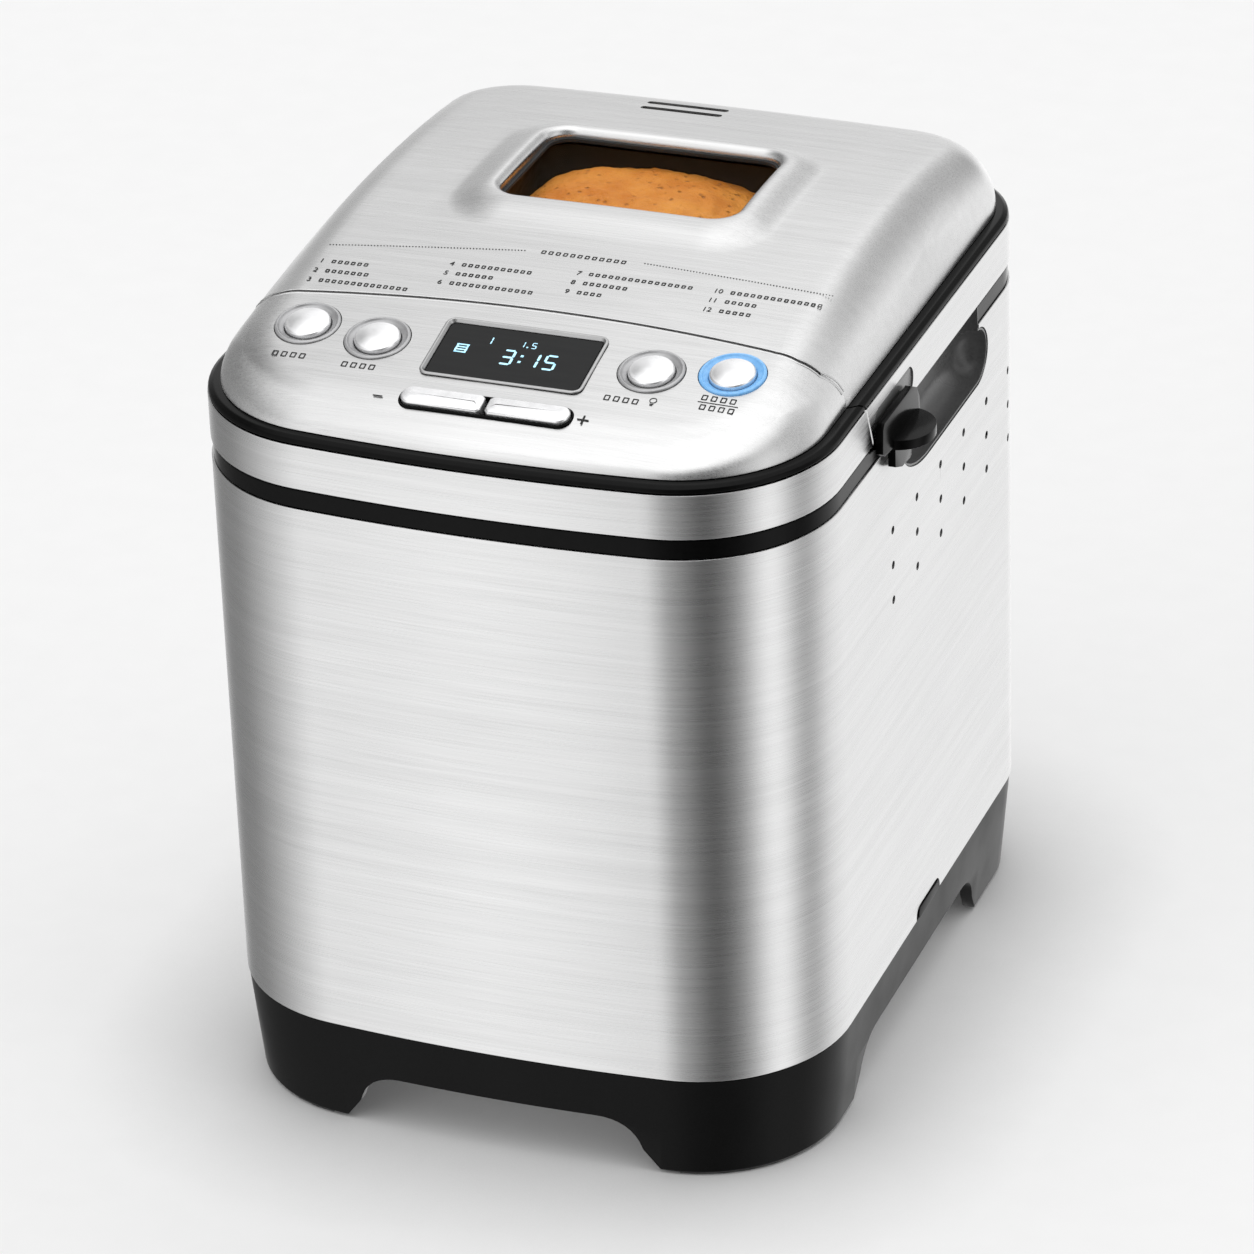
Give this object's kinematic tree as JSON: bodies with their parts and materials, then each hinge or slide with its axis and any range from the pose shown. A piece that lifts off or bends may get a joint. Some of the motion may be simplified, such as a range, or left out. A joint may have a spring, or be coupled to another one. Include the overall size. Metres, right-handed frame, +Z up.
{
  "type": "bread machine",
  "caption": "Compact upright bread machine with a steel body, hinged windowed lid, sloping control panel, lift-out pan and belt-driven kneading paddle.",
  "frame": {"origin": "on the ground, midway between the part's outermost points: 6.6 mm right of the middle of the body's plan and 4.7 mm behind it, because the lid's tab sticks out on the right and the hinge at the rear", "axes": "+Z up; -Y is the front with the control panel; +X is the machine's own left-to-right direction seen from the front, so the lid's handle is on the +X side"},
  "size_m": [0.2332, 0.2814, 0.2971],
  "materials": {
    "brushed_steel": "fine directional brushing, satin",
    "plain_steel": "plain bright metal",
    "coated_steel": "grey aluminised sheet",
    "nonstick_coating": "dark non-stick coating",
    "black_plastic": "satin black",
    "dark_grey_plastic": "matt dark grey",
    "foot_rubber": "matt black rubber",
    "belt_rubber": "toothed black rubber",
    "satin_button": "satin silver",
    "grey_ring": "satin grey",
    "lit_ring": "translucent blue light ring",
    "display_glass": "polished black",
    "window_glass": "clear, slightly smoked",
    "lamp_glass": "frosted lamp cover",
    "circuit_board": "green solder mask",
    "motor_can": "zinc-plated can"
  },
  "bodies": {
    "machine": {"base_skirt": "black_plastic", "rubber_foot_front_left": "foot_rubber", "rubber_foot_front_right": "foot_rubber", "rubber_foot_rear_left": "foot_rubber", "rubber_foot_rear_right": "foot_rubber", "base_plate": "plain_steel", "seam_clip": "black_plastic", "body_wrap": "brushed_steel", "upper_rim": "black_plastic", "deck_plate": "coated_steel", "finger_recess": "dark_grey_plastic", "rear_panel": "black_plastic", "cord_gland": "black_plastic", "baking_chamber": "coated_steel", "heating_element": "plain_steel", "temperature_sensor": "plain_steel", "chamber_lamp": "lamp_glass", "pan_socket": "plain_steel", "bearing_housing": "plain_steel", "drive_belt": "belt_rubber", "drive_motor": "motor_can", "motor_bracket": "plain_steel", "control_fascia": "brushed_steel", "control_trim": "black_plastic", "control_band": "brushed_steel", "control_tray": "black_plastic", "control_board": "circuit_board", "display_bezel": "plain_steel", "display_lens": "display_glass", "display_module": "black_plastic", "key_well": "black_plastic", "menu_ring": "grey_ring", "crust_ring": "grey_ring", "size_ring": "grey_ring", "start_ring": "lit_ring", "body_hinge_bracket": "dark_grey_plastic", "hinge_pin": "plain_steel"},
    "lid": {"lid_cover": "brushed_steel", "lid_trim": "black_plastic", "lid_band": "brushed_steel", "lid_liner": "coated_steel", "window_glass": "window_glass", "window_gasket": "black_plastic", "vent_grille": "black_plastic", "lid_handle": "black_plastic", "handle_backing": "dark_grey_plastic", "lid_hinge_bracket": "dark_grey_plastic"},
    "pan": {"bread_pan": "nonstick_coating"},
    "bail": {"pan_handle": "plain_steel"},
    "paddle": {"paddle_shaft": "plain_steel", "kneading_paddle": "nonstick_coating"},
    "spindle": {"drive_spindle": "plain_steel", "large_pulley": "black_plastic"},
    "motor_rotor": {"motor_pulley": "plain_steel"},
    "menu_push": {"menu_button": "satin_button"},
    "crust_push": {"crust_button": "satin_button"},
    "size_push": {"size_button": "satin_button"},
    "start_push": {"start_button": "satin_button"},
    "minus_push": {"minus_key": "satin_button"},
    "plus_push": {"plus_key": "satin_button"}
  },
  "joints": [
    {"name": "lid_hinge", "type": "hinge", "parent": "machine", "child": "lid", "pos_m": [-0.0066, 0.1365, 0.244], "axis": [-1, 0, 0], "range_deg": [0, 95]},
    {"name": "pan_lift", "type": "slide", "parent": "machine", "child": "pan", "axis": [0, 0, 1], "range_m": [0, 0.006]},
    {"name": "bail_swing", "type": "hinge", "parent": "pan", "child": "bail", "pos_m": [-0.0066, 0.0263, 0.212], "axis": [1, 0, 0], "range_deg": [0, 12]},
    {"name": "paddle_spin", "type": "hinge", "parent": "pan", "child": "paddle", "pos_m": [-0.0066, 0.0263, 0.08], "axis": [0, 0, 1], "continuous": true},
    {"name": "spindle_spin", "type": "hinge", "parent": "machine", "child": "spindle", "pos_m": [-0.0066, 0.0263, 0.058], "axis": [0, 0, 1], "continuous": true},
    {"name": "motor_spin", "type": "hinge", "parent": "machine", "child": "motor_rotor", "pos_m": [0.0274, -0.0967, 0.04], "axis": [0, 0, 1], "continuous": true},
    {"name": "menu_press", "type": "slide", "parent": "machine", "child": "menu_push", "axis": [0, 0.2129, -0.9771], "range_m": [0, 0.001], "stiffness_N_per_m": 600, "springref_m": -0.0008},
    {"name": "crust_press", "type": "slide", "parent": "machine", "child": "crust_push", "axis": [0, 0.2196, -0.9756], "range_m": [0, 0.001], "stiffness_N_per_m": 600, "springref_m": -0.0008},
    {"name": "size_press", "type": "slide", "parent": "machine", "child": "size_push", "axis": [0, 0.2167, -0.9762], "range_m": [0, 0.001], "stiffness_N_per_m": 600, "springref_m": -0.0008},
    {"name": "start_press", "type": "slide", "parent": "machine", "child": "start_push", "axis": [0, 0.2082, -0.9781], "range_m": [0, 0.001], "stiffness_N_per_m": 600, "springref_m": -0.0008},
    {"name": "minus_press", "type": "slide", "parent": "machine", "child": "minus_push", "axis": [0, 0.2692, -0.9631], "range_m": [0, 0.001], "stiffness_N_per_m": 600, "springref_m": -0.0008},
    {"name": "plus_press", "type": "slide", "parent": "machine", "child": "plus_push", "axis": [0, 0.2692, -0.9631], "range_m": [0, 0.001], "stiffness_N_per_m": 600, "springref_m": -0.0008}
  ],
  "couplings": [
    {"joint": "paddle_spin", "follows": "spindle_spin", "ratio": 1},
    {"joint": "motor_spin", "follows": "spindle_spin", "ratio": 4.86}
  ]
}
